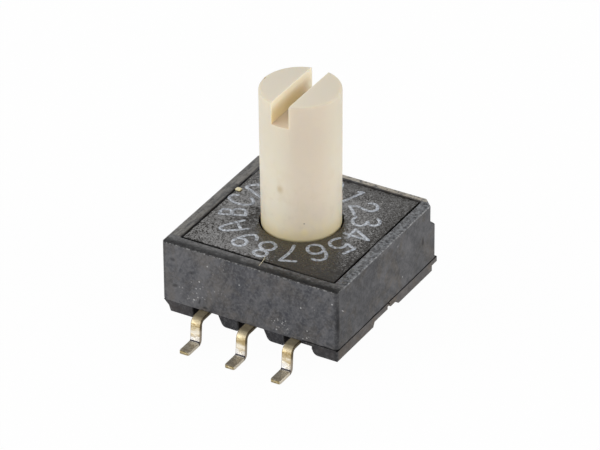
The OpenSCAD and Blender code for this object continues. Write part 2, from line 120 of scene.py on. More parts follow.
class Paint:
    """A node tree being built: a material's or the world's."""

    def __init__(self, tree):
        self.tree = tree
        tree.nodes.clear()

    def add(self, kind, settings=None, sockets=None, out=0):
        node = self.tree.nodes.new(kind)
        for key, value in (settings or {}).items():
            setattr(node, key, value)
        for key, value in (sockets or {}).items():
            named = [s for s in node.inputs if s.enabled and s.name == key]
            socket = node.inputs[key] if isinstance(key, int) else named[0]
            if isinstance(value, Flow):
                self.tree.links.new(value.socket, socket)
            else:
                socket.default_value = value
        usable = [s for s in node.outputs if s.enabled]
        socket = usable[out] if isinstance(out, int) else node.outputs[out]
        return Flow(self, socket)

    def math(self, operation, *values):
        return self.add("ShaderNodeMath", {"operation": operation}, dict(enumerate(values)))

    def ease(self, value, low, high):
        return self.add("ShaderNodeMapRange", {"interpolation_type": "SMOOTHSTEP"}, {
            "Value": value, "From Min": low, "From Max": high})

    def ray(self, kind):
        """One for rays of a kind, such as the camera's, and nothing for others."""
        return self.add("ShaderNodeLightPath", out=f"Is {kind} Ray")


print("socket maths ready")

# %% [markdown]
# ## A common start for every finish
# Moulded plastic, plating and print all need the same few moves: cloudy and grainy noise,
# a soft threshold, a spot at a place, a blend of two colours, a bump and a surface of small
# leaning facets. They are written once here.

# %% Give finishes their shared moves
class Finish(Paint):
    """A material on Object coordinates in millimetres."""

    def __init__(self, name):
        self.material = bpy.data.materials.new(name)
        self.material.use_nodes = True
        super().__init__(self.material.node_tree)
        place = self.add("ShaderNodeTexCoord", out="Object")
        self.mm = self.stretched(place, (1 / MM, 1 / MM, 1 / MM))
        apart = self.add("ShaderNodeSeparateXYZ", sockets={"Vector": self.mm})
        self.x, self.y, self.z = (Flow(self, s) for s in apart.socket.node.outputs)

    def stretched(self, place, scale):
        return self.add("ShaderNodeMapping", {}, {"Vector": place, "Scale": scale})

    def drawn(self, lengths, turn, centre=(0, 0, 0)):
        """Coordinates in which a pattern is drawn out along turned axes."""
        return self.add("ShaderNodeMapping", {"vector_type": "TEXTURE"}, {
            "Vector": self.mm, "Location": centre, "Rotation": turn, "Scale": lengths})

    def vector(self, operation, sockets, out=0):
        return self.add("ShaderNodeVectorMath", {"operation": operation}, sockets, out)

    def noise(self, scale, detail=2.0, rough=0.5, place=None, warp=0.0):
        return self.add("ShaderNodeTexNoise", {}, {
            "Vector": place or self.mm, "Scale": scale, "Detail": detail,
            "Roughness": rough, "Distortion": warp})

    def cells(self, scale, out="Distance"):
        return self.add("ShaderNodeTexVoronoi", {}, {"Vector": self.mm, "Scale": scale}, out)

    def spot(self, centre, radii, core=0.3, turn=(0, 0, 0)):
        """One at a place, fading to nothing at the radii, which may be turned."""
        far = self.vector("LENGTH", {0: self.drawn(radii, turn, centre)}, "Value")
        return self.ease(far, 1.0, core)

    def most(self, *masks):
        """The largest of several masks at each point."""
        top = masks[0]
        for mask in masks[1:]:
            top = self.math("MAXIMUM", top, mask)
        return top

    def blend(self, first, second, share, how="MIX"):
        colours = [c if isinstance(c, Flow) else (*c, 1) for c in (first, second)]
        return self.add("ShaderNodeMix", {"data_type": "RGBA", "blend_type": how}, {
            0: share, 6: colours[0], 7: colours[1]})

    def bump(self, height, depth_mm, under=None):
        sockets = {"Height": height, "Strength": 1.0, "Distance": depth_mm * MM}
        if under:
            sockets["Normal"] = under
        return self.add("ShaderNodeBump", {}, sockets)

    def facets(self, scale, tilt, under=None):
        """The normal of a surface whose grains each lean their own way."""
        own = self.vector("SUBTRACT", {0: self.cells(scale, out="Color"), 1: (0.5, 0.5, 0.5)})
        lean = self.vector("SCALE", {0: own, "Scale": tilt})
        level = under or self.add("ShaderNodeNewGeometry", out="Normal")
        return self.vector("NORMALIZE", {0: self.vector("ADD", {0: level, 1: lean})})

    def done(self, **sockets):
        named = {key.replace("_", " "): value for key, value in sockets.items()}
        return self.output(self.add("ShaderNodeBsdfPrincipled", {}, named))

    def with_painted_shade(self, shell, share, colour):
        """The shell with a flat dark diffuse mixed over it as painted shade, where hardly any light
        gets in.
        """
        painted_shade_bsdf = self.add("ShaderNodeBsdfDiffuse", {}, {"Color": (*colour, 1)})
        return self.output(self.add("ShaderNodeMixShader", {}, {0: share, 1: shell, 2: painted_shade_bsdf}))

    def output(self, shader):
        output = self.tree.nodes.new("ShaderNodeOutputMaterial")
        self.tree.links.new(shader.socket, output.inputs["Surface"])
        return self.material


print("finish helpers ready")

# %% [markdown]
# ## Black moulded plastic
# The housing is glass-filled plastic, nearly black in itself. What the eye sees is mostly
# the white surroundings on its satin skin, broken up by clouds, mottles, grain and flow
# marks. The marks run steeply down the front and back and slant down the sides. Housing and
# base share one recipe, so the patterns and the places that its layers need are made first.

# %% Lay out the plastic's patterns and places
class Moulded(Finish):
    """Black plastic, with the patterns and places that its layers share."""

    def __init__(self, name):
        super().__init__(name)
        self.mottle = self.noise(3.2, 5.0, 0.66, warp=0.5)
        self.grain = self.noise(13.0, 3.0, 0.65)
        self.speckle = self.ease(self.noise(5.5, 4.0, 0.75), 0.42, 0.60)
        self.front = self.ease(self.y, -4.9, -4.98)
        self.flank = self.ease(self.x, 4.70, 4.78)
        self.rim = self.ease(self.z, 4.64, 4.68)
        self.rim_front = self.rim * self.ease(self.y, -4.2, -4.3)
        # Where the painted shade on the outside of the front rim deepens outwards
        uneven = self.noise(3.5, 4.0, 0.75, self.stretched(self.mm, (0.6, 1.3, 1.0)))
        self.shade_outward = self.ease(self.y - uneven * 0.9, -4.84, -5.34)


def flow_marks(f):
    """Steep on the front and back, slanting down to the back on the sides."""
    steep_at = f.drawn((0.7, 1.0, 2.6), (0, radians(28), 0))
    slanting_at = f.drawn((1.0, 3.0, 0.8), (radians(-40), 0, 0))
    steep = f.noise(2.0, 4.0, 0.65, steep_at, 0.5)
    slanting = f.noise(1.8, 4.0, 0.62, slanting_at, 0.3)
    ends = f.most(f.front, f.ease(f.y, 4.50, 4.58))
    return ends * (steep * 0.8 + 0.10) + (1 - ends) * (slanting * 0.75 + 0.125)


def plastic_colour(f, dark, pale):
    """Cool and warm patches between the dark and the pale colour, with a painted cool light cast on
    the front, which is also less warm.
    """
    clouds = f.noise(0.55, 3.0, 0.55, warp=0.4)
    left = f.ease(f.x, -1.0, -2.4) * f.front
    near = f.ease(f.y, -0.5, -2.0) * f.flank
    mixed = clouds * 0.22 + f.mottle * 0.33 + flow_marks(f) * 0.45 + left * 0.06 - near * 0.035
    # Random cool tint, stronger on the front face as a painted cool light cast
    bluish = (dark[0] * 0.8, dark[1] * 0.95, dark[2] * 1.35)
    tint_and_front_cast = f.blend(dark, bluish, f.noise(1.3, 3.0) * (0.3 + 0.7 * f.front))
    cool = f.blend(tint_and_front_cast, pale, f.ease(mixed, 0.38, 0.64))
    warmed = f.ease(f.noise(0.9, 3.0, 0.6, warp=0.6), 0.46, 0.60) * (1 - f.front * 0.4)
    return f.blend(cool, (1.0, 0.87, 0.70), warmed * 0.9, "MULTIPLY")


print("plastic's patterns ready")

# %% [markdown]
# The rim round the plate has had the most wear. It has a patchy painted beige highlight
# behind, is streaked on the left and rubbed to a speckle on the right, and in front it is
# speckled too and has painted shade that deepens outwards. The upright corners are darker.

# %% Wear the rim, paint its highlight and shade, and darken the corners
def rim_wear_and_painted_light(f, body):
    streaks_at = f.stretched(f.mm, (1.6, 0.25, 1.0))
    streaks = f.ease(f.noise(5.0, 3.0, 0.6, streaks_at), 0.38, 0.60)
    left = f.blend((0.030, 0.029, 0.028), (0.130, 0.122, 0.108), streaks)
    right = f.blend((0.024, 0.025, 0.029), (0.155, 0.165, 0.180), f.speckle)
    sides = f.rim * f.ease(abs(f.x), 4.26, 4.32) * f.ease(f.y, -4.3, -4.2)
    rubbed = f.blend(body, f.blend(left, right, f.ease(f.x, 0.0, 0.1)), sides)
    # Painted highlight: a patchy beige on the back rim, where the back light grazes it
    behind = f.rim * f.ease(f.y, 4.30, 4.36) * f.ease(f.noise(6.0), 0.30, 0.55)
    back_highlight = f.blend(rubbed, (0.42, 0.38, 0.31), behind * 0.85)
    ahead = f.blend((0.035, 0.035, 0.036), (0.165, 0.165, 0.168), f.speckle)
    # Painted shade on the front rim, deepening outwards
    shaded = f.blend(ahead, (0.010, 0.010, 0.011), f.shade_outward)
    topped = f.blend(back_highlight, shaded, f.rim_front * 0.9)
    corner = f.ease(abs(f.x), 4.62, 4.74) * f.ease(abs(f.y), 4.80, 4.92)
    return f.blend(topped, (0.012, 0.012, 0.014), corner * f.ease(f.z, 4.66, 4.58) * 0.6)


print("rim wear ready")

# %% [markdown]
# On the faces stand clusters of pale specks, where filler shows, a few chips and some dark
# blotches, each at its own place. A thin, broken pale line along the arris round the rim, on
# the front and the sides, is partly wear and partly a painted highlight.

# %% Mark the faces
# Place and half sizes in the front face or the right side; a blotch may be turned
FRONT_CHIPS = (
    (-2.78, 3.02, 0.06), (-3.10, 1.90, 0.07), (2.86, 3.30, 0.06), (1.50, 1.66, 0.06),
    (3.20, 2.10, 0.05), (4.58, 4.03, 0.06), (-0.54, 3.53, 0.05), (-2.31, 4.03, 0.05))
FRONT_CLUSTERS = (
    (-3.1, 2.35, 1.3, 0.8), (-1.65, 2.82, 0.5, 0.4), (1.75, 2.00, 0.9, 0.6), (3.2, 1.6, 0.6, 0.3))
# The two lowest blotches, near x -2.6 and z 1.7, are painted shadow under a small chip above the first
# lead
FRONT_BLOTCHES = (
    (-4.27, 3.84, 0.22, 0.16, 0), (-3.23, 3.38, 0.20, 0.13, 20), (-4.15, 2.40, 0.26, 0.15, -15),
    (-2.45, 1.62, 0.20, 0.11, 0), (-2.78, 1.90, 0.09, 0.26, 15))
SIDE_BLOTCHES = ((3.36, 3.06, 0.13, 0.32), (-4.95, 3.0, 0.14, 1.6))
FRONT_Y, SIDE_X, SLANT = -5.05, 4.88, radians(-40)


def pale_marks(f):
    clusters = f.most(*(f.spot((x, FRONT_Y, z), (w, 0.4, h)) for x, z, w, h in FRONT_CLUSTERS),
                      f.ease(f.noise(0.8), 0.60, 0.74) * 0.5)
    specks = f.ease(f.cells(7.0), 0.36, 0.16) * f.ease(f.noise(3.7, 2.0), 0.42, 0.58) * clusters
    chips = f.most(*(f.spot((x, FRONT_Y, z), (r, 0.3, r)) for x, z, r in FRONT_CHIPS),
                   f.spot((SIDE_X, -4.54, 3.48), (0.3, 0.17, 0.03), 0.3, (SLANT, 0, 0)),
                   f.spot((SIDE_X, 1.30, 2.18), (0.3, 0.06, 0.05)))
    # The pale line along the arris is partly wear and partly a painted highlight
    arris_highlight = f.most(f.ease(abs(f.x), 4.80, 4.84) * 0.7, f.ease(f.y, -4.98, -5.02))
    broken = 0.08 + f.ease(f.noise(7.5, 4.0, 0.8), 0.46, 0.60) * 0.80
    worn = arris_highlight * f.ease(f.z, 4.650, 4.668) * broken
    return f.most(specks * 0.62, worn * 0.9, chips * 0.75)


def blotches(f):
    return f.most(
        *(f.spot((x, FRONT_Y, z), (w, 0.3, h), 0.2, (0, radians(turn), 0))
          for x, z, w, h, turn in FRONT_BLOTCHES),
        *(f.spot((SIDE_X, y, z), (0.3, w, h), 0.2) for y, z, w, h in SIDE_BLOTCHES))


print("marks ready")

# %% [markdown]
# The base is from another, warmer batch, with a bluish black in front, which is partly
# painted shade and darkest between the feet. Where hardly any light gets in or out, painted
# shade, a flat dark diffuse, is mixed over the plastic: in the housing's seam groove, half
# over its blotches and on the outside of its front rim, and in the base's windows, on the
# shaded face of the small nick in its side, along its top edge and a little over its front.

# %% Mix the two batches
def plastic_shell(f, body):
    fine = f.ease(f.noise(6.5, 4.0, 0.7), 0.44, 0.66) * (1 - f.rim)
    fine_dusted = f.blend(rim_wear_and_painted_light(f, body), (0.13, 0.13, 0.135), fine * (0.22 + 0.25 * f.front))
    marked = f.blend(fine_dusted, (0.50, 0.50, 0.50), pale_marks(f))
    bare = f.rim - f.rim_front
    skin = f.bump(f.mottle * 0.7 + f.grain * 0.3, 0.045)
    rough = 0.36 + 0.26 * f.grain + 0.12 * f.mottle - 0.20 * bare
    return f.add("ShaderNodeBsdfPrincipled", {}, {
        "Base Color": marked, "Roughness": rough + (f.speckle - 0.4) * 0.3 * f.rim_front,
        "Normal": f.facets(9.0, bare * 0.40, skin), "IOR": 1.5})


def housing_plastic(name):
    f = Moulded(name)
    body = plastic_colour(f, (0.020, 0.020, 0.023), (0.092, 0.091, 0.097))
    # Painted shade in the seam groove, half over the dark blotches, and on the outside of the front
    # rim
    low = f.ease(f.z + f.noise(2.2, 3.0) * 0.12, 1.62, 1.54)
    seam = low * f.most(f.ease(abs(f.x), 4.70, 4.78), f.ease(f.x, 2.8, 3.2) * f.front)
    painted_shade_share = f.most(seam, blotches(f) * 0.5, f.rim_front * f.shade_outward * 0.45)
    return f.with_painted_shade(plastic_shell(f, body), painted_shade_share * 0.92, (0.004, 0.004, 0.005))


def base_plastic(name):
    f = Moulded(name)
    colour = plastic_colour(f, (0.038, 0.032, 0.029), (0.110, 0.096, 0.088))
    # The front is a dark bluish black, partly its own colour and partly painted shade, darkest between
    # the feet
    between_feet = f.ease(abs(f.x), 2.9, 2.5)
    body = f.blend(colour, (0.008, 0.009, 0.015), f.front * (0.65 + 0.25 * between_feet))
    # Painted shade deep in the windows, on the shaded face of the small nick in the side, along the
    # top edge at the seam and a little over the front
    inside = f.ease(abs(f.y), 4.97, 4.88) * f.ease(abs(f.x), 4.7, 4.6)
    window_shade = inside * f.ease(f.z, 0.84, 0.90)
    nick_shade = f.spot((4.84, 0.05, 1.33), (0.3, 0.20, 0.06), 0.3, (SLANT, 0, 0))
    painted_shade_share = f.most(window_shade, nick_shade, f.ease(f.z, 1.37, 1.40) * f.flank, f.front * 0.30)
    return f.with_painted_shade(plastic_shell(f, body), painted_shade_share * 0.92, (0.004, 0.004, 0.005))


housing_black = housing_plastic("housing_black")
base_black = base_plastic("base_black")
print("made", housing_black.name, base_black.name)

# %% [markdown]
# ## The number plate's granular face
# The plate has a fine glittering grain on a smooth, glossy ground. It glitters where it
# mirrors the edge of the softbox behind and goes quiet where it mirrors the shaft. So its
# colour is even, and each grain is a small facet of the normal that leans its own way. Only
# the edge beside the joint has painted shade, here and there a little further in.

# %% Mix the plate's granular black
def plate_grain(f):
    """The leaning grains of the plate, which the ink on it shares."""
    return f.facets(13.0, 0.22, f.facets(24.0, 0.16))


def granular_black(name):
    f = Finish(name)
    face = f.add("ShaderNodeBsdfPrincipled", {}, {
        "Base Color": (0.033, 0.030, 0.027, 1), "Roughness": 0.12 + 0.06 * f.noise(0.9, 3.0),
        "Normal": plate_grain(f), "IOR": 1.45})
    # Painted shade along the plate's edges beside the groove round it
    ragged = f.noise(2.6, 3.0, 0.6) * 0.12
    sides = f.ease(abs(f.x) + ragged, 4.215, 4.240)
    ahead = f.ease(ragged - f.y, 4.170, 4.205) * (0.3 + 0.7 * f.ease(f.x, 2.4, 0.8))
    return f.with_painted_shade(face, f.most(sides, ahead) * 0.85, (0.003, 0.003, 0.003))


plate_black = granular_black("plate_black")
print("made", plate_black.name)

# %% [markdown]
# ## Ivory plastic of the shaft
# Undyed engineering plastic lets some light into it, so it gets a little subsurface
# scattering. It isn't one colour: it is painted paler and yellower downwards, as painted
# light against the shade near the dark plate, it is creamier at its edges and pinker and a
# little darker in the middle that faces the front, partly its own tone and partly painted
# shade, and it is greyer on its end face. Near the plate it has a yellow hem and a painted
# olive shade at its foot, and the slot has painted tan shade low on its walls. One blurred
# brown spot, one dark speck and a brown chip at the top edge are set one by one.

# %% Mix the shaft's ivory
def ivory_plastic(name):
    f = Finish(name)
    tall = f.stretched(f.mm, (1, 1, 0.6))
    clouds = f.noise(0.45, 4.0, 0.6, tall, 0.5)
    blotch = f.noise(1.7, 4.0, 0.6)
    grain = f.noise(14.0, 3.0, 0.6)
    # The middle as seen from the front right is pinker and a little darker, partly its own tone and
    # partly painted shade
    middle = f.ease(abs(f.x * 0.86 + f.y * 0.50 + clouds * 0.8 - 0.75), 1.6, 0.5)
    # Painted light: the ivory grows paler downwards
    down = f.ease(f.z, 10.8, 4.8)
    cream = f.blend(f.blend((0.665, 0.610, 0.490), (0.83, 0.77, 0.63), down),
                    f.blend((0.660, 0.575, 0.465), (0.80, 0.71, 0.58), down), middle)
    mottled = f.blend(cream, (0.68, 0.60, 0.47), f.ease(blotch, 0.48, 0.72) * 0.35)
    # Painted light: yellower low down, which is mixed with a yellow smear on the front
    low = f.ease(f.z + blotch * 1.8, 7.2, 5.2)
    smear = f.spot((1.14, -1.65, 5.10), (0.42, 0.4, 0.45), 0.1)
    lit_low_and_smeared = f.blend(mottled, (0.90, 0.78, 0.50), f.most(low * 0.65, smear * 0.9))
    hem = f.ease(f.z + blotch * 0.4, 5.6, 4.8) * 0.55
    # Painted shade: olive at the shaft's very foot, by the bore
    foot = f.ease(f.z + blotch * 0.12, 4.80, 4.68)
    foot_shaded = f.blend(f.blend(lit_low_and_smeared, (0.74, 0.60, 0.31), hem), (0.40, 0.32, 0.14), foot * 0.5)
    crowned = f.blend(foot_shaded, (0.73, 0.665, 0.54), f.ease(f.z, 12.06, 12.09))
    # The slot: painted tan shade low on its walls, with a paler floor
    slot = f.ease(abs(f.x), 0.50, 0.48) * f.ease(f.z, 10.875, 10.895)
    wall_shade = slot * f.ease(f.z, 11.90, 11.30) * f.ease(f.y, 1.9, 0.3)
    slot_wall_shaded = f.blend(f.blend(crowned, (0.90, 0.81, 0.64), slot * 0.9), (0.80, 0.66, 0.38), wall_shade * 0.8)
    floored = f.blend(slot_wall_shaded, (0.74, 0.63, 0.49), slot * f.ease(f.z, 10.94, 10.91))
    spot = f.spot((-0.02, -2.0, 7.43), (0.28, 0.4, 0.34), 0.0) * 0.5
    speck = f.spot((1.107, -1.665, 5.64), (0.055, 0.1, 0.055), 0.2)
    chip = f.spot((-1.98, -0.09, 12.08), (0.16, 0.22, 0.16), 0.4)
    handled = f.blend(f.blend(floored, (0.46, 0.33, 0.14), spot), (0.42, 0.30, 0.16), chip * 0.8)
    marked = f.blend(handled, (0.14, 0.11, 0.08), speck * 0.8)
    skin = f.bump(blotch * 0.6 + grain * 0.4, 0.008)
    return f.done(
        Base_Color=marked, Roughness=0.40 + 0.16 * grain, Normal=skin, IOR=1.48,
        Subsurface_Weight=0.4, Subsurface_Radius=(1.0, 0.75, 0.45), Subsurface_Scale=0.0006)


shaft_ivory = ivory_plastic("shaft_ivory")
print("made", shaft_ivory.name)

# %% [markdown]
# ## Plated terminals
# The terminals are bronze with a thin pale gold plating. The broad faces are plated and
# mottled in bands that run across the strip. The leg gets a paler copy of the plating as a
# painted reflection of the white sheet in front. The top bend is painted brownish as shade,
# where it mirrors the dim space in front, a painted white highlight lies low on the leg, and
# the foot is dull. The stamped edges show the darker, rough metal, and the dark is carried
# over the rounded corners of the broad faces as painted shade. The sheared tips are amber,
# and painted shade lies in the crease of the foot's bend.

# %% Mix the plating
PITCH = 2.54


def plating(name):
    f = Finish(name)
    bands = f.noise(3.0, 3.0, 0.6, f.stretched(f.mm, (0.6, 1.0, 1.6)), 0.6)
    fine = f.noise(9.0, 3.0, 0.6)
    leg = f.ease(abs(f.y), 5.75, 5.85) * f.ease(f.z, 1.10, 0.75)
    mixed = bands * 0.85 + fine * 0.15
    gold = f.blend((0.74, 0.63, 0.40), (0.36, 0.26, 0.13), f.ease(mixed, 0.42, 0.56))
    pale = f.blend((0.92, 0.85, 0.71), (0.66, 0.54, 0.34), f.ease(mixed, 0.43, 0.58))
    # Painted reflection: the leg gets a paler copy of the plating
    leg_lit_copy = f.blend(gold, pale, leg)
    # Painted shade: the top bend is brownish in patches
    bend = f.ease(f.z, 0.70, 0.88)
    patches = 0.25 + 0.5 * f.ease(f.noise(5.0, 3.0, 0.7), 0.46, 0.60)
    bend_shaded = f.blend(leg_lit_copy, (0.42, 0.32, 0.15), bend * patches)
    # Painted highlight: white low on the leg
    bright = f.most(f.ease(f.z, 0.62, 0.40) * f.ease(bands, 0.66, 0.46), f.ease(f.z, 0.42, 0.37))
    leg_highlight = f.blend(bend_shaded, (0.98, 0.97, 0.96), leg * bright * 0.9)
    lead = f.ease(f.z, 1.12, 1.20)
    led = f.blend(leg_highlight, (0.62, 0.55, 0.40), lead * 0.60)
    foot = f.ease(f.z, 0.24, 0.20) * f.ease(abs(f.y), 6.00, 6.08)
    worked_share = f.ease(bands * 0.8 + fine * 0.2, 0.42, 0.60)
    worked = f.blend((0.66, 0.61, 0.50), (0.47, 0.41, 0.31), worked_share)
    dulled = f.blend(led, worked, foot * 0.95)
    # The stamped edges are darker raw metal, and the mask also covers the rounded corners of the broad
    # faces, where it is painted shade
    across = abs(f.math("WRAP", f.x, PITCH / 2, -PITCH / 2))
    edge = f.ease(across, 0.226, 0.256) * f.ease(abs(f.y), 4.4, 4.5)
    sheared = f.ease(abs(f.y), 6.95, 6.99)
    high = f.blend((0.30, 0.25, 0.19), (0.10, 0.075, 0.04), f.ease(f.z, 0.70, 0.95))
    raw = f.blend(high, (0.56, 0.51, 0.42), foot)
    cut_edge_and_edge_shade = f.blend(dulled, raw, edge * 0.92)
    amber = sheared * (0.4 + 0.6 * f.ease(fine, 0.35, 0.50))
    tipped = f.blend(cut_edge_and_edge_shade, (0.32, 0.25, 0.11), amber * 0.85)
    # Painted shade in the crease of the foot's bend
    line = f.ease(abs(f.y), 5.945, 5.960) * f.ease(abs(f.y), 6.020, 6.000)
    crease = line * f.ease(f.z, 0.275, 0.255)
    crease_shaded = f.blend(tipped, (0.015, 0.012, 0.022), crease * 0.95)
    skin = f.bump(bands * 0.7 + fine * 0.3, 0.030)
    rough = 0.24 + 0.14 * bands + 0.22 * f.most(edge, foot, sheared, lead, bend * 0.55)
    return f.done(Base_Color=crease_shaded, Metallic=1.0, Roughness=rough, Normal=skin)


terminal_plating = plating("terminal_plating")
print("made", terminal_plating.name)

# %% [markdown]
# ## Print, steel, rubber and sealing compound
# The dial is printed in a dry grey-white ink that lies thinly on the grain, and thinner
# still on the left. The springs, the sealing ring and the compound under the base hardly
# show, but each has its finish, because the model is also looked at without its housing.

# %% Mix the small finishes
def dial_ink(name):
    f = Finish(name)
    worn = f.ease(f.x, -1.2, -2.6) * 0.04
    thick = f.ease(f.noise(8.0, 4.0, 0.7) - worn, 0.38, 0.56)
    ink = f.blend((0.12, 0.13, 0.15), (0.42, 0.46, 0.53), thick)
    return f.done(Base_Color=ink, Roughness=0.17, Normal=plate_grain(f), IOR=1.6)


def spring_metal(name):
    f = Finish(name)
    lines = f.noise(14.0, 3.0, 0.6, f.stretched(f.mm, (1, 0.12, 1)))
    steel = f.blend((0.50, 0.50, 0.52), (0.70, 0.70, 0.71), lines)
    return f.done(Base_Color=steel, Metallic=1.0, Roughness=0.22 + 0.2 * lines,
                  Normal=f.bump(lines, 0.004))


def seal_black(name):
    f = Finish(name)
    bloom = f.noise(2.5, 4.0, 0.6)
    return f.done(Base_Color=f.blend((0.010, 0.010, 0.010), (0.030, 0.030, 0.031), bloom),
                  Roughness=0.5 + 0.2 * bloom, Normal=f.bump(f.noise(18.0), 0.004))


def compound(name):
    f = Finish(name)
    pool = f.noise(1.1, 4.0, 0.6)
    return f.done(Base_Color=f.blend((0.030, 0.022, 0.015), (0.065, 0.050, 0.036), pool),
                  Roughness=0.15 + 0.2 * pool, Normal=f.bump(pool, 0.05))


dial_print = dial_ink("dial_print")
spring_steel = spring_metal("spring_steel")
seal_rubber = seal_black("seal_rubber")
epoxy = compound("epoxy")
print("made", dial_print.name, spring_steel.name, seal_rubber.name, epoxy.name)

# %% [markdown]
# ## Tools of the bench
# A few short helpers keep the modelling cells readable. Everything is deselected before an
# operator runs, because an operator acts on all that is selected. Sizes are written in
# millimetres and turned into metres here.

# %% Helpers for selecting and shaping
ROUND = 96


def select_none():
    bpy.ops.object.select_all(action="DESELECT")


def only(*objects):
    select_none()
    for o in objects:
        o.select_set(True)
    bpy.context.view_layer.objects.active = objects[0]
    return objects[0]


def settle(o, name=None):
    only(o)
    bpy.ops.object.transform_apply(location=True, rotation=True, scale=True)
    o.name = o.data.name = name or o.name
    return o


def placed(name, data):
    """A new object with the data, put into the scene."""
    o = bpy.data.objects.new(name, data)
    bpy.context.scene.collection.objects.link(o)
    return o


def block(name, low, high):
    select_none()
    middle = [(a + b) / 2 * MM for a, b in zip(low, high)]
    bpy.ops.mesh.primitive_cube_add(size=1, location=middle)
    o = bpy.context.object
    o.scale = [(b - a) * MM for a, b in zip(low, high)]
    return settle(o, name)


def drum(name, radius, low, high):
    select_none()
    bpy.ops.mesh.primitive_cylinder_add(
        vertices=ROUND, radius=radius * MM, depth=(high - low) * MM,
        location=(0, 0, (low + high) / 2 * MM))
    return settle(bpy.context.object, name)


def pick(o, kind, test=lambda *parts: True):
    """Goes into edit mode with the vertices, edges or faces that pass the test selected."""
    only(o)
    bpy.ops.object.mode_set(mode="EDIT")
    bpy.ops.mesh.select_mode(type=kind)
    bpy.ops.mesh.select_all(action="DESELECT")
    bpy.ops.object.mode_set(mode="OBJECT")
    points = [v.co / MM for v in o.data.vertices]
    if kind == "VERT":
        for v, p in zip(o.data.vertices, points):
            v.select = test(p)
    elif kind == "EDGE":
        for e in o.data.edges:
            e.select = test(*(points[i] for i in e.vertices))
    else:
        for face in o.data.polygons:
            face.select = test(face.center / MM, face.normal)
    bpy.ops.object.mode_set(mode="EDIT")


def leave():
    bpy.ops.object.mode_set(mode="OBJECT")


def face_outwards():
    """Turns every face of the piece in edit mode outwards and leaves edit mode."""
    bpy.ops.mesh.select_all(action="SELECT")
    bpy.ops.mesh.normals_make_consistent(inside=False)
    leave()


def round_uprights(o, radius, steps, test=lambda p: True):
    """Bevels the upright edges at the places that pass the test."""
    pick(o, "EDGE", lambda a, b: abs(a.z - b.z) > 0.2 and test(a))
    bpy.ops.mesh.bevel(offset=radius * MM, segments=steps, affect="EDGES")
    leave()


def bridge_open_ends(o):
    """Joins the two open loops of a piece with a band of faces."""
    pick(o, "EDGE", lambda a, b: False)
    bpy.ops.mesh.select_non_manifold(extend=False, use_wire=False, use_multi_face=False,
                                     use_non_contiguous=False, use_verts=False)
    bpy.ops.mesh.bridge_edge_loops()
    face_outwards()


def modifier(o, kind, **settings):
    only(o)
    m = o.modifiers.new(kind.lower(), kind)
    for key, value in settings.items():
        setattr(m, key, value)
    bpy.ops.object.modifier_apply(modifier=m.name)


def carve(o, tool, how="DIFFERENCE"):
    modifier(o, "BOOLEAN", object=tool, operation=how, solver="EXACT")
    bpy.data.objects.remove(tool)


def soften(o, width, steps=3, angle=38):
    modifier(o, "BEVEL", width=width * MM, segments=steps, limit_method="ANGLE",
             angle_limit=radians(angle), miter_outer="MITER_ARC")
    smooth(o)


def smooth(o, angle=32):
    only(o)
    bpy.ops.object.shade_smooth_by_angle(angle=radians(angle))


def dress(o, material, slot, body, *nodes):
    o.data.materials.clear()
    o.data.materials.append(material)
    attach(o, body)
    if nodes:
        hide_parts(*nodes)
    print(o.name, len(o.data.polygons), "faces, rides on", body)


print("bench ready")

# %% [markdown]
# ## The housing
# The housing is a box open below, with a web on which the number plate lies. It starts as
# a cube whose upright edges are bevelled. The pocket, the cavity and the bore are carved by
# boolean modifiers, since each is a plain form, and a narrow bevel over all sharp edges
# gives the worn, rounded arrises that catch a thin line of light.

# %% Model the housing
HOUSE_LOW, HOUSE_HIGH = (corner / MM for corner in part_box("housing"))
PLATE_LOW, PLATE_HIGH = (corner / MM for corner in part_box("number_plate"))
GROOVE, WALL, WEB_T = 0.08, 0.80, 1.15
WEB_Z = PLATE_LOW.z - WEB_T
CAVITY = (HOUSE_HIGH.x - WALL, -HOUSE_LOW.y - WALL, HOUSE_HIGH.y - WALL)
FRONT_CORNER, BACK_CORNER, PLATE_CORNER = 0.20, 0.10, 0.10

housing = block("housing_shell", HOUSE_LOW, HOUSE_HIGH)
round_uprights(housing, FRONT_CORNER, 5, lambda p: p.y < -3)
round_uprights(housing, BACK_CORNER, 5, lambda p: p.y > 3)

# Pocket for the plate, as wide as the plate and its groove
pocket = block("pocket", (PLATE_LOW.x - GROOVE, PLATE_LOW.y - GROOVE, PLATE_LOW.z),
               (PLATE_HIGH.x + GROOVE, PLATE_HIGH.y + GROOVE, HOUSE_HIGH.z + 1))
round_uprights(pocket, PLATE_CORNER, 3)
carve(housing, pocket)

# Cavity, with ribs left standing for the ends of the detent springs
RIB_DEEP, RIB_FROM, RIB_TO, RIB_LOW = 0.20, 2.74, 2.94, 2.28
cavity = block("cavity", (-CAVITY[0], -CAVITY[1], HOUSE_LOW.z - 1), (CAVITY[0], CAVITY[2], WEB_Z))
for x in (-1, 1):
    for y in (-1, 1):
        left, right = sorted((x * (CAVITY[0] + 0.1), x * (CAVITY[0] - RIB_DEEP)))
        low, high = sorted((y * RIB_FROM, y * RIB_TO))
        carve(cavity, block("rib", (left, low, RIB_LOW), (right, high, WEB_Z + 1)))
carve(housing, cavity)

# Bore for the shaft, wider below for the journal and the sealing ring
BORE_R, GLAND_R, GLAND_TALL = 2.05, 2.32, 0.90
carve(housing, drum("gland", GLAND_R, WEB_Z - 1, WEB_Z + GLAND_TALL))
carve(housing, drum("bore", BORE_R, WEB_Z, HOUSE_HIGH.z))
print("housing carved:", len(housing.data.polygons), "faces")

# %% [markdown]
# Two flats cut the back corners, from the rim down to a sloping shoulder. They key the
# housing in its tray. Each is cut by a block turned by forty-five degrees, whose lower
# inside edge is sliced off by a bisect to leave the slope.

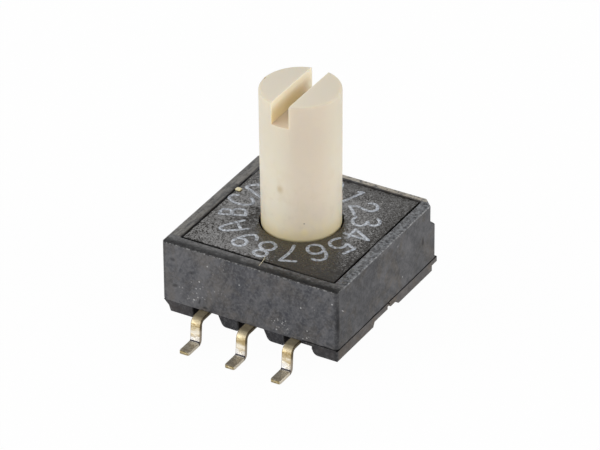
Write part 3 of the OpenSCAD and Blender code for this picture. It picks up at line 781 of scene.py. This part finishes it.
# %% Cut the flats on the back corners
KEY_FLAT, KEY_DROP, KEY_SHOULDER = 0.50, 1.14, 0.14
flat_at = (HOUSE_HIGH.x + HOUSE_HIGH.y - KEY_FLAT) / sqrt(2)
shift = (HOUSE_HIGH.x - HOUSE_HIGH.y) / sqrt(2)
slope = Vector((KEY_SHOULDER, 0, KEY_FLAT / sqrt(2))).normalized()
for turn in (45, 135):
    key = block("key", (flat_at, -1, HOUSE_HIGH.z - KEY_DROP - KEY_SHOULDER),
                (flat_at + 1, 1, HOUSE_HIGH.z + 1))
    pick(key, "FACE")
    bpy.ops.mesh.bisect(
        plane_co=Vector((flat_at, 0, HOUSE_HIGH.z - KEY_DROP)) * MM, plane_no=slope,
        use_fill=True, clear_inner=True)
    face_outwards()
    key.location.y = (-shift if turn == 45 else shift) * MM
    settle(key)
    key.rotation_euler.z = radians(turn)
    settle(key)
    carve(housing, key)
soften(housing, 0.045, 3)
print("housing with its flats:", len(housing.data.polygons), "faces")

# %% [markdown]
# A narrow groove runs along the seam on both sides, and on the right also round the front
# and the back corner. It is carved after the bevel, because it is too narrow for rounded
# edges. The joint round the number plate is bridged by a bit of flash on either side,
# which is added as a block.

# %% Carve the seam groove and add the flash
SEAM_TALL, SEAM_DEEP = 0.07, 0.09
for x, start in ((-1, 4.70), (1, 2.90)):
    near, far = sorted((x * start, x * (HOUSE_HIGH.x + 1)))
    band = block("band", (near, HOUSE_LOW.y - 1, HOUSE_LOW.z - 1),
                 (far, HOUSE_HIGH.y + 1, HOUSE_LOW.z + SEAM_TALL))
    core = block("core", (HOUSE_LOW.x + SEAM_DEEP, HOUSE_LOW.y + SEAM_DEEP, HOUSE_LOW.z - 2),
                 (HOUSE_HIGH.x - SEAM_DEEP, HOUSE_HIGH.y - SEAM_DEEP, HOUSE_HIGH.z))
    round_uprights(core, FRONT_CORNER, 5)
    carve(band, core)
    carve(housing, band)
FLASH_GAP, FLASH_SUNK = 0.012, 0.015
for x, start, end in ((1, -0.78, 0.80), (-1, 2.50, 3.30)):
    left, right = sorted((x * (PLATE_HIGH.x + FLASH_GAP), x * (PLATE_HIGH.x + GROOVE + 0.05)))
    flash = block("flash", (left, start, PLATE_LOW.z - 0.1), (right, end, PLATE_HIGH.z - FLASH_SUNK))
    carve(housing, flash, "UNION")
smooth(housing)
dress(housing, housing_black, "housing_black", "body", "housing")

# %% [markdown]
# ## The number plate
# A thin plate with barely rounded corners lies in the pocket, a few hundredths below the
# rim, with a dark groove all round it. Its bore leaves a ring of shade about the shaft.

# %% Model the number plate
PLATE_BORE_R = 2.065
plate = block("number_plate_face", PLATE_LOW, PLATE_HIGH)
round_uprights(plate, PLATE_CORNER, 3)
carve(plate, drum("plate_bore", PLATE_BORE_R, PLATE_LOW.z - 1, PLATE_HIGH.z + 1))
soften(plate, 0.018, 2)
dress(plate, plate_black, "plate_black", "body", "number_plate")

# %% [markdown]
# ## The shaft
# Below the plate the rotor keeps the CAD shape, with its notched flange, its code bosses
# and its pin: a copy of that mesh is merged and cut off inside the bore. Above it the shaft
# is turned anew from a circle by extruding and scaling rings, very slightly wider upwards,
# and the two rings are bridged. The slot is carved before the edges are softened, and the
# small chip in the top edge after that, because a chip is sharp.

# %% Copy the lower rotor and turn a new shaft
SHAFT_R, SHAFT_TOP = 2.0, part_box("rotor")[1].z / MM
FOOT_R, END_R = 1.965, 2.015
JOURNAL_R, JOURNAL_TOP, NECK_R, NECK_TOP = 2.27, WEB_Z + 0.42, 1.84, 4.52
END_ROUND = 0.12
CUT_Z, START_Z = WEB_Z + 0.2, WEB_Z + 0.3
SAME_POINT = 0.0004


def cad_copy(node, name):
    """A merged copy of a CAD node's mesh, which leaves the node as it is."""
    o = placed(name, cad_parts[node].data.copy())
    o.data.name = name
    pick(o, "VERT")
    bpy.ops.mesh.remove_doubles(threshold=SAME_POINT * MM)
    leave()
    return o


rotor = cad_copy("rotor", "rotor_shaft")
pick(rotor, "FACE")
bpy.ops.mesh.bisect(plane_co=(0, 0, CUT_Z * MM), plane_no=(0, 0, 1), clear_outer=True)
leave()

select_none()
bpy.ops.mesh.primitive_circle_add(
    vertices=ROUND, radius=JOURNAL_R * MM, location=(0, 0, START_Z * MM))
turned = settle(bpy.context.object, "turned")
pick(turned, "VERT")
at_r, at_z = JOURNAL_R, START_Z
profile = [
    (JOURNAL_R, JOURNAL_TOP), (NECK_R, JOURNAL_TOP), (NECK_R, NECK_TOP), (FOOT_R, NECK_TOP),
    (SHAFT_R, 8.5), (END_R, SHAFT_TOP - END_ROUND),
]
profile += [
    (END_R - END_ROUND * (1 - cos(a)), SHAFT_TOP - END_ROUND * (1 - sin(a)))
    for a in (radians(22.5 * i) for i in range(1, 5))
]
for r, z in profile:
    bpy.ops.mesh.extrude_region_move(TRANSFORM_OT_translate={"value": (0, 0, (z - at_z) * MM)})
    bpy.ops.transform.resize(value=(r / at_r, r / at_r, 1), center_override=(0, 0, z * MM))
    at_r, at_z = r, z
bpy.ops.mesh.edge_face_add()
face_outwards()
print("turned shaft:", len(turned.data.vertices), "points")

# %% Bridge the two and cut the slot
only(rotor, turned)
bpy.ops.object.join()
bridge_open_ends(rotor)
SLOT_W, SLOT_DEPTH = 0.95, 1.20
CHIP_R, CHIP_AT = 0.10, (-1.98, -0.09, SHAFT_TOP + 0.01)
carve(rotor, block("slot", (-SLOT_W / 2, -3, SHAFT_TOP - SLOT_DEPTH), (SLOT_W / 2, 3, SHAFT_TOP + 1)))
soften(rotor, 0.03, 2)
select_none()
bpy.ops.mesh.primitive_ico_sphere_add(
    subdivisions=3, radius=CHIP_R * MM, location=[c * MM for c in CHIP_AT])
carve(rotor, settle(bpy.context.object, "chip"))
smooth(rotor)
dress(rotor, shaft_ivory, "shaft_ivory", "turning", "rotor")

# %% [markdown]
# ## The base
# The base closes the housing from below: a flange at the seam, lips with a window for each
# terminal and a relief along each side. Its form is in the CAD mesh, so a merged copy gets
# its flat faces dissolved and its edges softened. A small step is cut into the flange
# beside the right front terminal.

# %% Soften the base
base = cad_copy("base", "base_moulding")
pick(base, "FACE")
bpy.ops.mesh.dissolve_limited(angle_limit=radians(1.5))
leave()
STEP_LOW, STEP_HIGH = (2.60, -5.3, 0.5), (3.42, -4.76, 1.28)
carve(base, block("step", STEP_LOW, STEP_HIGH))
soften(base, 0.022, 2)
dress(base, base_black, "housing_black", "body", "base")

# %% [markdown]
# ## The terminals
# A terminal is a flat strip. It leaves its window level, turns down in a gentle bend, leans
# a little outwards and turns out again into a foot. Its section is a small rectangle with
# rounded corners, which is extruded for the straights and spun for the bends. The tip is
# rounded off by a few shrinking steps.

# %% Bend one terminal
TERM_W, TERM_T, TERM_ROUND = 0.55, 0.20, 0.035
STRIP_Z = HOUSE_LOW.z - TERM_T / 2
LEG_OUT, FOOT_OUT, LEAN = 5.95, 7.03, 5
TOP_BEND, FOOT_BEND = 0.20 + TERM_T / 2, 0.08 + TERM_T / 2
ARC = radians(90 - LEAN)
leg_drop = (TOP_BEND + FOOT_BEND) * (1 - cos(ARC))
leg_len = (STRIP_Z - TERM_T / 2 - leg_drop) / sin(ARC)
lead_end = LEG_OUT - TERM_T / 2 - TOP_BEND * sin(ARC) - leg_len * cos(ARC)
foot_len = FOOT_OUT - (LEG_OUT - TERM_T / 2) - FOOT_BEND * sin(ARC)
INNER_END = 4.62
TIP_STEPS = ((0.06, 0.94, 0.93), (0.05, 0.87, 0.84), (0.03, 0.80, 0.70))
TIP_LEN = sum(step for step, narrower, thinner in TIP_STEPS)

select_none()
bpy.ops.mesh.primitive_plane_add(size=1, location=(0, INNER_END * MM, STRIP_Z * MM),
                                 rotation=(-pi / 2, 0, 0))
strip = bpy.context.object
strip.scale = (TERM_W * MM, TERM_T * MM, 1)
settle(strip, "strip")
pick(strip, "VERT")
bpy.ops.mesh.bevel(offset=TERM_ROUND * MM, segments=3, affect="VERTICES")
bpy.ops.mesh.select_all(action="SELECT")


def go(length, angle):
    """Extrudes the strip's end by a length, at an angle below the level."""
    way = Vector((0, cos(angle), -sin(angle))) * length * MM
    bpy.ops.mesh.extrude_region_move(TRANSFORM_OT_translate={"value": way})


def turn_about(y, z, angle, steps):
    bpy.ops.mesh.spin(steps=steps, angle=angle, center=(0, y * MM, z * MM), axis=(1, 0, 0))


go(lead_end - INNER_END, 0)
turn_about(lead_end, STRIP_Z - TOP_BEND, ARC, 8)
go(leg_len, ARC)
foot_y = LEG_OUT - TERM_T / 2 + FOOT_BEND * sin(ARC)
turn_about(foot_y, TERM_T / 2 + FOOT_BEND, -ARC, 6)
go(foot_len - TIP_LEN, 0)
for step, narrower, thinner in TIP_STEPS:
    go(step, 0)
    bpy.ops.transform.resize(value=(narrower, 1, thinner))
face_outwards()
print("strip runs to y", round(max(v.co.y for v in strip.data.vertices) / MM, 3),
      "z", round(min(v.co.z for v in strip.data.vertices) / MM, 3))

# %% [markdown]
# Each terminal keeps its own hidden half from the CAD mesh, with the cross bar and the
# contact finger, and gets a copy of the bent strip at its place, which is turned by half a
# turn for the front row.

# %% Copy the strip to the six places
TERMINALS = {
    "terminal_bit_1": (-PITCH, -1), "terminal_common_front": (0, -1),
    "terminal_bit_4": (PITCH, -1), "terminal_bit_2": (-PITCH, 1),
    "terminal_common_back": (0, 1), "terminal_bit_8": (PITCH, 1),
}
for node, (x, way) in TERMINALS.items():
    inner = cad_copy(node, node + "_plated")
    pick(inner, "FACE")
    bpy.ops.mesh.bisect(plane_co=(0, way * (INNER_END - 0.1) * MM, 0), plane_no=(0, way, 0),
                        clear_outer=True, use_fill=False)
    leave()
    outer = placed("outer", strip.data.copy())
    if way < 0:
        outer.rotation_euler.z = pi
        settle(outer)
    outer.location.x = x * MM
    settle(outer)
    pick(outer, "FACE", lambda c, n: abs(c.y) < INNER_END + 0.001)
    bpy.ops.mesh.delete(type="ONLY_FACE")
    leave()
    only(inner, outer)
    bpy.ops.object.join()
    bridge_open_ends(inner)
    smooth(inner, 40)
    dress(inner, terminal_plating, "terminal_plating", "body", node)
bpy.data.objects.remove(strip)

# %% [markdown]
# ## The dial
# Sixteen positions are numbered with the hexadecimal digits, clockwise seen from above,
# their heads outwards. Each digit is one or two pen strokes. A stroke is a poly curve with
# a round bevel, thinned at its ends and pressed flat, so that it lies on the plate like
# thick ink. The ring's middle is a little beside the shaft's, as on the real dial.

# %% Draw the sixteen digits
PEN, RING_R, RING_X, RING_Y = 0.086, 3.25, -0.17, 0.06


def ring(cx, cy, rx, ry):
    """A closed loop of the pen."""
    turns = [radians(90 - 15 * i) for i in range(25)]
    return [(cx + rx * cos(a), cy + ry * sin(a)) for a in turns]


def flowing(points):
    """The points joined by a smooth curve."""
    p = [Vector(q) for q in points]
    p = [2 * p[0] - p[1]] + p + [2 * p[-1] - p[-2]]
    out = [p[1]]
    for a, b, c, d in zip(p, p[1:], p[2:], p[3:]):
        for t in (0.25, 0.5, 0.75, 1.0):
            out.append(0.5 * (2 * b + (c - a) * t + (2 * a - 5 * b + 4 * c - d) * t ** 2
                              + (3 * b - a - 3 * c + d) * t ** 3))
    return out


# Pen strokes in millimetres from the middle of each digit
DIGITS = {
    "0": [ring(0.03, 0, 0.36, 0.68)],
    "1": [[(-0.13, 0.54), (0.06, 0.69), (0.08, -0.66)]],
    "2": [flowing([(-0.40, 0.40), (-0.28, 0.62), (0, 0.70), (0.26, 0.58), (0.33, 0.34),
                   (0.22, 0.12), (-0.06, -0.07), (-0.32, -0.27), (-0.44, -0.58)])
          + [(0.42, -0.58)]],
    "3": [flowing([(-0.36, 0.55), (-0.12, 0.69), (0.15, 0.61), (0.25, 0.38), (0.15, 0.15),
                   (-0.10, 0.08)])
          + flowing([(-0.10, 0.08), (0.20, 0.0), (0.33, -0.26), (0.20, -0.54), (-0.10, -0.65),
                     (-0.44, -0.54)])],
    "4": [[(0.12, -0.66), (0.12, 0.68), (-0.46, -0.36), (0.40, -0.33)]],
    "5": [[(0.28, 0.62), (-0.40, 0.62)]
          + flowing([(-0.38, 0.03), (-0.18, 0.13), (0.06, 0.13), (0.27, -0.03), (0.33, -0.28),
                     (0.22, -0.55), (-0.08, -0.68), (-0.42, -0.60)])],
    "6": [flowing([(0.34, 0.50), (0.20, 0.66), (-0.05, 0.71), (-0.27, 0.62), (-0.38, 0.36),
                   (-0.41, 0.0), (-0.39, -0.36), (-0.27, -0.62), (-0.02, -0.71), (0.24, -0.62),
                   (0.36, -0.34), (0.29, -0.04), (0.08, 0.09), (-0.16, 0.09), (-0.38, -0.10)])],
    "7": [[(-0.35, 0.66)] + flowing([(0.43, 0.66), (0.12, 0.08), (-0.02, -0.30), (-0.09, -0.72)])],
    "8": [ring(0.04, 0.40, 0.34, 0.28), ring(0.04, -0.32, 0.39, 0.37)],
    "9": [ring(0.04, 0.32, 0.34, 0.34),
          flowing([(0.38, 0.32), (0.38, 0.02), (0.30, -0.36), (0.12, -0.62), (-0.10, -0.62),
                   (-0.30, -0.44)])],
    "A": [flowing([(-0.28, -0.66), (-0.16, 0.30), (0.0, 0.62), (0.22, 0.62), (0.38, 0.30),
                   (0.54, -0.66)]),
          [(-0.20, -0.28), (0.46, -0.28)]],
    "B": [[(-0.05, -0.63), (-0.05, 0.63)]
          + flowing([(0.16, 0.63), (0.37, 0.54), (0.42, 0.34), (0.34, 0.12), (0.12, 0.06)])
          + [(-0.05, 0.06)],
          flowing([(0.12, 0.06), (0.40, -0.02), (0.53, -0.28), (0.42, -0.55), (0.16, -0.63)])
          + [(-0.05, -0.63)]],
    "C": [flowing([(0.44, 0.42), (0.27, 0.65), (0.02, 0.68), (-0.19, 0.45), (-0.27, 0.05),
                   (-0.21, -0.35), (0.0, -0.58), (0.26, -0.54), (0.50, -0.26)])],
    "D": [[(-0.28, -0.66), (-0.27, 0.67)]
          + flowing([(-0.02, 0.67), (0.30, 0.50), (0.43, 0.08), (0.34, -0.40), (0.04, -0.65)])
          + [(-0.28, -0.66)]],
    "E": [[(0.42, 0.66), (-0.28, 0.66), (-0.30, -0.66), (0.42, -0.66)], [(-0.29, 0.04), (0.25, 0.04)]],
    "F": [[(0.42, 0.66), (-0.29, 0.66), (-0.30, -0.66)], [(-0.29, 0.04), (0.25, 0.04)]],
}


def along(points, gap=0.05):
    """The same pen path with points at most a gap apart."""
    out = [Vector(points[0])]
    for p in points[1:]:
        p, q = Vector(p), out[-1]
        count = max(1, ceil((p - q).length / gap))
        out += [q.lerp(p, (i + 1) / count) for i in range(count)]
    return out


def thread(name, knots, radius, z=0):
    """A round thread through knots of place and share of the radius, as a mesh."""
    select_none()
    curve = bpy.data.curves.new(name, "CURVE")
    curve.dimensions, curve.bevel_depth, curve.bevel_resolution = "3D", radius * MM, 2
    curve.use_fill_caps = True
    spline = curve.splines.new("POLY")
    spline.points.add(len(knots) - 1)
    for knot, (p, share) in zip(spline.points, knots):
        knot.co, knot.radius = (p.x * MM, p.y * MM, z * MM, 1), share
    only(placed(name, curve))
    bpy.ops.object.convert(target="MESH")
    return bpy.context.object


# How far past a stroke's end a knot lies, in pens, and its share of the pen's radius
TAPER = ((0.97, 0.25), (0.7, 0.72))


def pen_stroke(points):
    """A stroke of ink as a mesh, in a digit's own plane."""
    path = along(points)
    first, last = (path[1] - path[0]).normalized(), (path[-1] - path[-2]).normalized()
    head = [(path[0] - first * PEN * past, share) for past, share in TAPER]
    tail = [(path[-1] + last * PEN * past, share) for past, share in reversed(TAPER)]
    return thread("stroke", head + [(p, 1.0) for p in path] + tail, PEN)


INK_RISE, POSITION_TURN = 0.012, 360 / len(DIGITS)
for number, (digit, strokes) in enumerate(DIGITS.items()):
    parts = [pen_stroke(s) for s in strokes]
    only(*parts)
    if len(parts) > 1:
        bpy.ops.object.join()
    glyph = bpy.context.object
    bearing = radians(90 - POSITION_TURN * number)
    glyph.scale.z = INK_RISE / PEN
    settle(glyph)
    glyph.location.y = RING_R * MM
    settle(glyph)
    glyph.rotation_euler.z = bearing - pi / 2
    glyph.location = Vector((RING_X, RING_Y, PLATE_HIGH.z)) * MM
    settle(glyph, "dial_digit_" + digit)
    smooth(glyph, 60)
    dress(glyph, dial_print, "dial_print", "body")

# %% [markdown]
# ## The index pip and a fibre
# Beside the D stands a small cream pip, the mark to which the shaft's slot is set. It is a
# block whose edges are rounded right over. A pale textile fibre lies across the front
# joint, a thin bent tube.

# %% Model the pip and the fibre
PIP_LOW, PIP_HIGH, PIP_ROUND = (-4.22, 0.78, -0.02), (-3.93, 1.03, 0.09), 0.05
pip = block("index_pip", *((x, y, PLATE_HIGH.z + z) for x, y, z in (PIP_LOW, PIP_HIGH)))
modifier(pip, "BEVEL", width=PIP_ROUND * MM, segments=3, limit_method="NONE")
smooth(pip, 60)
dress(pip, shaft_ivory, "shaft_ivory", "body")

FIBRE_R, FIBRE_LIFT = 0.013, 0.012
fibre_path = flowing([(0.20, -3.84), (0.27, -4.05), (0.32, -4.30), (0.34, -4.50), (0.36, -4.66)])
fibre = thread("fibre", [(p, 1.0) for p in fibre_path], FIBRE_R, HOUSE_HIGH.z + FIBRE_LIFT)
smooth(fibre, 60)
dress(fibre, shaft_ivory, "shaft_ivory", "body")

# %% [markdown]
# ## Hidden pieces
# The contact disc, the detent springs, the sealing ring and the compound keep their CAD
# shapes and only get their finishes.

# %% Dress the CAD nodes that stay
STAYING = {
    "code_disc": terminal_plating, "detent_spring_left": spring_steel,
    "detent_spring_right": spring_steel, "shaft_seal": seal_rubber, "base_seal": epoxy,
}
for node, material in STAYING.items():
    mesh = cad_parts[node].data
    mesh.materials.clear()
    mesh.materials.append(material)
print("dressed", ", ".join(STAYING))

# %% [markdown]
# ## Floor, surroundings and lamps
# The switch stands on a white sheet in white surroundings. The camera sees both as plain
# white, but the sheet keeps a little of its shading, which is the faint shadow. Mirror rays
# see white near the horizon and a soft grey higher up, so the plating and the satin skin
# show a clean studio. The lamps and the soft light from all round shape the forms.

# %% Lay the floor
select_none()
SHEET_WIDTH = 3.0
bpy.ops.mesh.primitive_plane_add(size=SHEET_WIDTH)
floor = settle(bpy.context.object, "white_sheet")
sheet = Finish("white_sheet")
reflected = sheet.ray("Glossy") + sheet.ray("Transmission")
plain = sheet.ray("Camera") * 0.97 + reflected * 0.60
paper = sheet.add("ShaderNodeBsdfDiffuse", {}, {"Color": (0.88, 0.88, 0.88, 1)})
white = sheet.add("ShaderNodeEmission", {}, {"Color": (1, 1, 1, 1), "Strength": 1.0})
sheet.output(sheet.add("ShaderNodeMixShader", {}, {0: plain, 1: paper, 2: white}))
floor.data.materials.append(sheet.material)
print("floor laid")

# %% Set the surroundings
world = bpy.data.worlds.new("studio")
world.use_nodes = True
bpy.context.scene.world = world
sky = Paint(world.node_tree)
seen = sky.ray("Camera")
way = sky.add("ShaderNodeTexCoord", out="Generated")
heading = sky.add("ShaderNodeSeparateXYZ", sockets={"Vector": way}, out="Z")
soft = 0.48 + sky.ray("Glossy") * (0.52 - 0.58 * sky.ease(heading, 0.10, 0.50))
light = sky.add("ShaderNodeBackground", {}, {
    "Color": (1, 1, 1, 1), "Strength": seen + (1 - seen) * soft})
output = world.node_tree.nodes.new("ShaderNodeOutputWorld")
world.node_tree.links.new(light.socket, output.inputs["Surface"])
print("surroundings set")

# %% Hang the lamps
def lamp(name, azimuth, elevation, distance, size, watts, colour=(1, 1, 1)):
    a, e = radians(azimuth), radians(elevation)
    away = Vector((sin(a) * cos(e), -cos(a) * cos(e), sin(e)))
    aim = Vector((0, 0, 5 * MM))
    bpy.ops.object.light_add(type="AREA", location=aim + away * distance)
    o = bpy.context.object
    o.name = name
    o.rotation_mode = "QUATERNION"
    o.rotation_quaternion = away.to_track_quat("Z", "Y")
    o.data.shape = "RECTANGLE"
    o.data.size, o.data.size_y = size
    o.data.energy = watts
    o.data.color = colour


lamp("back_softbox", 216, 40.5, 0.35, (0.12, 0.13), 0.165)
lamp("left_softbox", -45, 16, 0.50, (0.45, 0.30), 1.32)
lamp("right_softbox", 105, 16, 0.50, (0.45, 0.30), 1.21, (1.0, 0.98, 0.95))
lamp("front_fill", 30, 22, 0.60, (0.30, 0.30), 0.60)
print("lamps hung")
